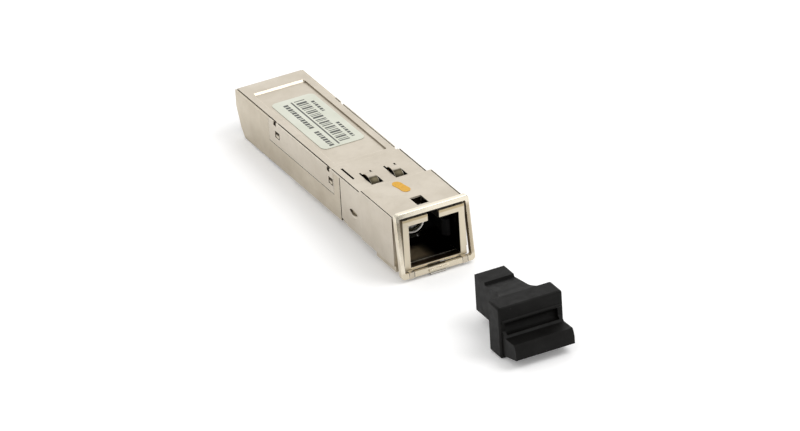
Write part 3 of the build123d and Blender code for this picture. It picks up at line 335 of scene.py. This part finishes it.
# ---------------------------------------------------------------- materials
def plated_metal(name, warm, pale, rough_low, rough_high, grain, brush_axis=None, zones=()):
    """Nickel plate: cloudy tint, edge wear with painted edge highlights, painted shade in gaps, fine
    grain and, if asked, brushing.

    Each zone is (box corners, softness in mm, colour) and recolours the faces inside its box.
    """
    material, tree, shader, coords = new_material(name)
    shader.inputs["Metallic"].default_value = 1.0
    clouds = noise(tree, coords, 160.0, 4.0, 0.6)
    base = mixed(tree, spread(tree, clouds, 0.35, 0.65, 0.0, 1.0), warm, pale)
    handled = spread(tree, noise(tree, coords, 420.0, 6.0, 0.65), 0.56, 0.72, 0.0, 0.35)
    base = mixed(tree, handled, base, tuple(0.86 * value for value in warm))
    wear_and_highlight_edges = edge_mask(tree, 0.12 * MM)
    patchy = spread(tree, noise(tree, coords, 900.0), 0.35, 0.6, 0.25, 0.9)
    rubbed_and_highlit = combine(tree, "MULTIPLY", wear_and_highlight_edges, patchy)
    for corners, soft, colour in zones:
        base = mixed(tree, zone_mask(tree, coords, corners, soft * MM), base, colour)
    # Rubbed edge wear with a painted highlight along convex and concave edges.
    base = mixed(tree, rubbed_and_highlit, base, EDGE_WEAR_AND_HIGHLIGHT)
    # Painted shade in narrow gaps and under overlaps.
    base = mixed(tree, gap_shade_mask(tree, GAP_REACH), base, PAINTED_GAP_SHADE)
    tree.links.new(base, shader.inputs["Base Color"])
    rough = spread(tree, noise(tree, coords, 700.0, 5.0, 0.6), 0.3, 0.7, rough_low, rough_high)
    rough = combine(tree, "SUBTRACT", rough, combine(tree, "MULTIPLY", rubbed_and_highlit, 0.08))
    tree.links.new(rough, shader.inputs["Roughness"])
    layers = [(noise(tree, coords, 9000.0, 2.0), grain, 0.01 * MM)]
    layers.append((noise(tree, coords, 260.0, 2.0), 0.12, 0.02 * MM))
    if brush_axis:
        scale = tuple(300.0 if axis == brush_axis else 14000.0 for axis in "XYZ")
        streaks = noise(tree, stretched(tree, coords, scale), 1.0, 2.0)
        layers.append((streaks, 0.10, 0.01 * MM))
    raise_surface(tree, shader, layers)
    return material


def moulded(name, colour, rough_low, rough_high, grain_scale, grain, specular=0.5, dust=0.0):
    """Moulded plastic or rubber: fine texture, slight tint change and a little dust."""
    material, tree, shader, coords = new_material(name)
    shader.inputs["Specular IOR Level"].default_value = specular
    lighter = tuple(min(1.0, 1.5 * value + 0.002) for value in colour)
    patches = spread(tree, noise(tree, coords, 300.0, 4.0), 0.35, 0.7, 0.0, 1.0)
    base = mixed(tree, patches, colour, lighter)
    if dust:
        specks = spread(tree, noise(tree, coords, 2600.0, 4.0, 0.7), 0.62, 0.75, 0.0, dust)
        base = mixed(tree, specks, base, DUST)
    tree.links.new(base, shader.inputs["Base Color"])
    rough = spread(tree, noise(tree, coords, 800.0, 4.0), 0.3, 0.7, rough_low, rough_high)
    tree.links.new(rough, shader.inputs["Roughness"])
    fine = noise(tree, coords, grain_scale, 2.0)
    broad = noise(tree, coords, 350.0, 3.0)
    raise_surface(tree, shader, [(fine, grain, 0.02 * MM), (broad, 0.15, 0.03 * MM)])
    return material


def turned_metal(name, warm, pale, rough, ring_scale, bore=None):
    """Turned metal with fine tool rings along Y; bore is a radius in mm and the painted shade colour
    inside it.
    """
    material, tree, shader, coords = new_material(name)
    shader.inputs["Metallic"].default_value = 1.0
    tint = spread(tree, noise(tree, coords, 500.0, 3.0), 0.35, 0.65, 0.0, 1.0)
    base = mixed(tree, tint, warm, pale)
    if bore:
        radius, colour = bore
        length = tree.nodes.new("ShaderNodeVectorMath")
        length.operation = "LENGTH"
        tree.links.new(stretched(tree, coords, (1.0, 0.0, 1.0)), length.inputs[0])
        inside = spread(tree, length.outputs["Value"], (radius - 0.04) * MM, radius * MM, 1.0, 0.0)
        # Painted shade inside the bore radius.
        base = mixed(tree, inside, base, colour)
    tree.links.new(base, shader.inputs["Base Color"])
    rings = noise(tree, stretched(tree, coords, (60.0, ring_scale, 60.0)), 1.0, 2.0)
    tree.links.new(spread(tree, rings, 0.3, 0.7, rough - 0.06, rough + 0.08), shader.inputs["Roughness"])
    raise_surface(tree, shader, [(rings, 0.12, 0.01 * MM)])
    return material


def clear_glass(name, colour):
    """Coated glass with a faint clouding."""
    material, tree, shader, coords = new_material(name)
    shader.inputs["Transmission Weight"].default_value = 0.9
    shader.inputs["IOR"].default_value = 1.5
    tint = spread(tree, noise(tree, coords, 1500.0), 0.4, 0.6, 0.0, 1.0)
    tree.links.new(mixed(tree, tint, colour, (0.9, 0.95, 1.0)), shader.inputs["Base Color"])
    rough = spread(tree, noise(tree, coords, 3000.0), 0.4, 0.6, 0.02, 0.08)
    tree.links.new(rough, shader.inputs["Roughness"])
    return material


def solder_mask():
    """Green board: mask over copper traces that run along the board."""
    material, tree, shader, coords = new_material("board_mask")
    traces = noise(tree, stretched(tree, coords, (1900.0, 130.0, 1.0)), 1.0, 0.0)
    copper = spread(tree, traces, 0.50, 0.53, 0.0, 0.55)
    base = mixed(tree, copper, MASK_GREEN, TRACE_GREEN)
    tree.links.new(base, shader.inputs["Base Color"])
    rough = spread(tree, noise(tree, coords, 900.0), 0.3, 0.7, 0.22, 0.36)
    tree.links.new(rough, shader.inputs["Roughness"])
    raise_surface(tree, shader, [(copper, 0.4, 0.02 * MM), (noise(tree, coords, 5000.0), 0.1, 0.01 * MM)])
    return material


def label_film():
    """Pale matt film with paper-like fibre and slight yellowing."""
    material, tree, shader, coords = new_material("label_paper")
    clouds = spread(tree, noise(tree, coords, 220.0, 4.0), 0.35, 0.65, 0.0, 1.0)
    tree.links.new(mixed(tree, clouds, LABEL_DULL, LABEL_PALE), shader.inputs["Base Color"])
    rough = spread(tree, noise(tree, coords, 1200.0), 0.3, 0.7, 0.42, 0.55)
    tree.links.new(rough, shader.inputs["Roughness"])
    raise_surface(tree, shader, [(noise(tree, coords, 6000.0, 3.0), 0.2, 0.01 * MM)])
    return material


def printed_ink(name, colour, rough):
    """Printed ink with uneven coverage."""
    material, tree, shader, coords = new_material(name)
    thin = spread(tree, noise(tree, coords, 2500.0, 4.0), 0.35, 0.7, 0.0, 1.0)
    paler = tuple(min(1.0, value * 1.3 + 0.01) for value in colour)
    tree.links.new(mixed(tree, thin, colour, paler), shader.inputs["Base Color"])
    tree.links.new(spread(tree, thin, 0.0, 1.0, rough - 0.06, rough + 0.1), shader.inputs["Roughness"])
    raise_surface(tree, shader, [(noise(tree, coords, 4000.0, 3.0), 0.35, 0.02 * MM)])
    return material


MATERIALS = {
    "sheet_nickel": plated_metal(
        "satin_nickel_sheet", NICKEL_WARM, NICKEL_PALE, 0.30, 0.40, 0.20, "Y", SHEET_ZONES
    ),
    "die_cast_nickel": plated_metal(
        "satin_nickel_casting", CAST_WARM, CAST_PALE, 0.30, 0.42, 0.40, zones=CAST_ZONES
    ),
    "bright_nickel": plated_metal(
        "bright_nickel_ring", RING_WARM, RING_PALE, 0.18, 0.28, 0.05, zones=RING_ZONES
    ),
    "latch_steel": plated_metal(
        "stamped_latch_steel", (0.62, 0.60, 0.56), (0.72, 0.70, 0.66), 0.28, 0.40, 0.25, "Y"
    ),
    "spring_steel": plated_metal(
        "spring_strip_steel", (0.66, 0.64, 0.60), (0.76, 0.74, 0.70), 0.22, 0.34, 0.2, "Y"
    ),
    "stainless_tube": turned_metal(
        "turned_stainless", (0.90, 0.88, 0.83), (0.96, 0.94, 0.90), 0.26, 9000.0, (1.85, BORE_PAINTED_SHADE)
    ),
    "optic_steel": turned_metal(
        "machined_optic_steel", (0.62, 0.61, 0.59), (0.74, 0.73, 0.71), 0.30, 6000.0
    ),
    "can_gold": turned_metal("gold_plated_can", (0.78, 0.55, 0.22), (0.90, 0.68, 0.32), 0.24, 5000.0),
    "contact_gold": turned_metal(
        "hard_gold_contacts", (0.82, 0.58, 0.22), (0.92, 0.70, 0.32), 0.22, 7000.0
    ),
    "black_plastic": moulded(
        "black_moulded_plastic", (0.004, 0.004, 0.004), 0.50, 0.62, 5000.0, 0.35, 0.07
    ),
    "plug_rubber": moulded(
        "black_plug_rubber", (0.0030, 0.0028, 0.0025), 0.46, 0.58, 5200.0, 0.40, 0.13, 0.03
    ),
    "chip_black": moulded("chip_package", (0.016, 0.016, 0.018), 0.50, 0.62, 9000.0, 0.5),
    "ferrite": moulded("ground_ferrite", (0.050, 0.050, 0.053), 0.55, 0.7, 4000.0, 0.5),
    "zirconia": moulded("white_zirconia", (0.80, 0.78, 0.73), 0.12, 0.2, 6000.0, 0.05),
    "chip_ceramic": moulded("chip_ceramic_body", (0.42, 0.30, 0.18), 0.4, 0.5, 5000.0, 0.2),
    "pad_grey": moulded("soft_thermal_pad", (0.26, 0.29, 0.33), 0.6, 0.75, 3500.0, 0.6),
    "flex_amber": moulded("amber_flex_film", (0.42, 0.14, 0.015), 0.25, 0.35, 2500.0, 0.15),
    "filter_glass": clear_glass("coated_glass", (0.75, 0.85, 1.0)),
    "board_green": solder_mask(),
    "label_film": label_film(),
    "mark_yellow": printed_ink("yellow_paint", (0.61, 0.315, 0.006), 0.48),
}


def round_edges(piece, width):
    """Fine rounded edges with flat faces between them."""
    piece.data.polygons.foreach_set("use_smooth", [True] * len(piece.data.polygons))
    weld = piece.modifiers.new("weld", "WELD")
    weld.merge_threshold = MERGE_GAP
    flat = piece.modifiers.new("clean_flats", "DECIMATE")
    flat.decimate_type = "DISSOLVE"
    flat.angle_limit = FLAT_ANGLE
    bevel = piece.modifiers.new("soft_edge", "BEVEL")
    bevel.width = width
    bevel.segments = 2
    bevel.limit_method = "ANGLE"
    bevel.angle_limit = ROUNDED_ANGLE
    bevel.use_clamp_overlap = True
    split = piece.modifiers.new("hard_corners", "EDGE_SPLIT")
    split.split_angle = SPLIT_ANGLE
    split.use_edge_sharp = False
    piece.modifiers.new("flat_faces", "WEIGHTED_NORMAL").weight = 80


def finish_cad_nodes():
    """Give each CAD node its detailed material and a fine rounded edge."""
    slots = {part["node"]: part["material_slot"] for part in frame["record"]["subparts"]}
    for name, node in NODES.items():
        node.data.materials.clear()
        node.data.materials.append(MATERIALS[slots[name]])
        round_edges(node, EDGE_WIDTHS.get(name, FINE_EDGE) * MM)


def make_spring_strip():
    """Rigid copy of the leaf spring, riding with the module in place of the hidden CAD node."""
    node = NODES["latch_spring"]
    piece = bpy.data.objects.new("spring_strip", node.data.copy())
    piece.matrix_world = node.matrix_world
    bpy.context.scene.collection.objects.link(piece)
    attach(piece, "module")
    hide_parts("latch_spring")
    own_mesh(piece)


# ---------------------------------------------------------------- label print
def add_mark(mesh, x_low, x_high, y_low, y_high, base):
    """Thin raised patch of ink with sloped sides, in millimetres across and along the label."""
    rings = []
    for grow, height in ((0.0, 0.0), (-INK_SLOPE, INK_THICKNESS)):
        corners = (
            (x_low - grow, y_low - grow), (x_high + grow, y_low - grow),
            (x_high + grow, y_high + grow), (x_low - grow, y_high + grow),
        )
        rings.append([mesh.verts.new((x * MM, y * MM, base + height)) for x, y in corners])
    low, high = rings
    mesh.faces.new(high)
    mesh.faces.new(list(reversed(low)))
    for index in range(4):
        after = (index + 1) % 4
        mesh.faces.new((low[index], low[after], high[after], high[index]))


def make_label_print():
    """Meaningless generic print: one long rule, a field of bars and four rows of dashes."""
    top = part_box("cover_label")[1].z
    mesh = bmesh.new()
    half_rule = LABEL_RULE_WIDTH / 2
    add_mark(mesh, LABEL_RULE_X - half_rule, LABEL_RULE_X + half_rule, *LABEL_RULE_Y, top)
    y, step = LABEL_BAR_Y[0], 0
    while y < LABEL_BAR_Y[1]:
        width = LABEL_BAR_WIDTHS[step % len(LABEL_BAR_WIDTHS)]
        add_mark(mesh, *LABEL_BAR_X, y, y + width, top)
        y += width + LABEL_BAR_GAPS[step % len(LABEL_BAR_GAPS)]
        step += 1
    for x, height, start, end in LABEL_DASH_ROWS:
        y = start
        while y < end:
            length = LABEL_DASH_LENGTHS[step % len(LABEL_DASH_LENGTHS)]
            add_mark(mesh, x - height / 2, x + height / 2, y, y + length, top)
            y += length + LABEL_DASH_GAP
            step += 1
    data = bpy.data.meshes.new("label_print")
    mesh.to_mesh(data)
    mesh.free()
    piece = bpy.data.objects.new("label_print", data)
    bpy.context.scene.collection.objects.link(piece)
    data.materials.append(printed_ink("label_ink", PRINT_BLACK, 0.5))
    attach(piece, "module")


# ---------------------------------------------------------------- stage, light, camera
def floor_height(y):
    """Height of the paper sweep: flat under the plug, lowest under the latch, up to the tray's rear."""
    plug_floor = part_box("dust_plug")[0].z
    latch_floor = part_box("latch_rocker")[0].z
    tray_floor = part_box("base_tray")[0].z
    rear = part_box("base_tray")[1].y - FLOOR_REAR_INSET
    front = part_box("dust_plug")[1].y + FLOOR_FRONT_GAP
    if y <= front:
        return plug_floor
    if y <= FLOOR_LOW_Y:
        share = (y - front) / (FLOOR_LOW_Y - front)
        return plug_floor + (latch_floor - plug_floor) * (3 * share ** 2 - 2 * share ** 3)
    if y <= rear:
        climb = max(0.0, (y - FLOOR_RISE_Y) / (rear - FLOOR_RISE_Y))
        return latch_floor + (tray_floor - latch_floor) * climb
    return tray_floor


def make_floor():
    """One wide sheet that touches plug, latch and tray."""
    far = [*FLOOR_FAR_ROWS, FLOOR_REACH]
    near = [step * FLOOR_STEP for step in range(*FLOOR_STEPS)]
    rows = [-y for y in reversed(far)] + near + far
    mesh = bmesh.new()
    pairs = []
    for y in rows:
        z = floor_height(y) - FLOOR_GAP
        pairs.append((mesh.verts.new((-FLOOR_REACH, y, z)), mesh.verts.new((FLOOR_REACH, y, z))))
    for (left, right), (next_left, next_right) in zip(pairs, pairs[1:]):
        mesh.faces.new((left, right, next_right, next_left))
    data = bpy.data.meshes.new("paper_sweep")
    mesh.to_mesh(data)
    data.polygons.foreach_set("use_smooth", [True] * len(data.polygons))
    floor = bpy.data.objects.new("paper_sweep", data)
    bpy.context.scene.collection.objects.link(floor)
    material, tree, shader, coords = new_material("white_paper")
    tint = spread(tree, noise(tree, coords, 12.0), 0.3, 0.7, 0.0, 1.0)
    tree.links.new(mixed(tree, tint, PAPER_DULL, PAPER_PALE), shader.inputs["Base Color"])
    shader.inputs["Roughness"].default_value = 0.8
    shader.inputs["Specular IOR Level"].default_value = 0.1
    shader.inputs["Emission Color"].default_value = (1.0, 1.0, 1.0, 1.0)
    shader.inputs["Emission Strength"].default_value = FLOOR_GLOW
    data.materials.append(material)


def area_light(name, place, aim, size, power):
    """Square soft white light at a place, facing an aim point."""
    data = bpy.data.lights.new(name, "AREA")
    data.shape = "SQUARE"
    data.size = size
    data.energy = power
    light = bpy.data.objects.new(name, data)
    light.location = place
    light.rotation_mode = "QUATERNION"
    light.rotation_quaternion = (Vector(aim) - Vector(place)).to_track_quat("-Z", "Y")
    bpy.context.scene.collection.objects.link(light)


def make_lights():
    """White tent: bright even surround, a large softbox behind and a smaller one above."""
    world = bpy.data.worlds.new("white_tent")
    world.use_nodes = True
    background = world.node_tree.nodes["Background"]
    background.inputs["Color"].default_value = TENT_WHITE
    background.inputs["Strength"].default_value = TENT_STRENGTH
    bpy.context.scene.world = world
    area_light("back_softbox", BACK_BOX_PLACE, LIGHT_AIM, BACK_BOX_SIZE, BACK_BOX_WATTS)
    area_light("top_softbox", TOP_BOX_PLACE, LIGHT_AIM, TOP_BOX_SIZE, TOP_BOX_WATTS)


def make_camera():
    """Long lens from the front left, rolled slightly."""
    data = bpy.data.cameras.new("camera")
    data.lens = LENS
    data.sensor_width = SENSOR_WIDTH
    data.clip_start = 0.05
    data.clip_end = 30.0
    camera = bpy.data.objects.new("camera", data)
    back = CAMERA_BACK.normalized()
    right = (CAMERA_RIGHT - back * CAMERA_RIGHT.dot(back)).normalized()
    up = back.cross(right)
    turn = Matrix((right, up, back)).transposed().to_4x4()
    camera.matrix_world = Matrix.Translation(CAMERA_AIM + back * CAMERA_DISTANCE) @ turn
    bpy.context.scene.collection.objects.link(camera)
    bpy.context.scene.camera = camera


bpy.context.scene.view_settings.view_transform = "Standard"
make_floor()
make_lights()
make_camera()
finish_cad_nodes()
make_spring_strip()
make_label_print()
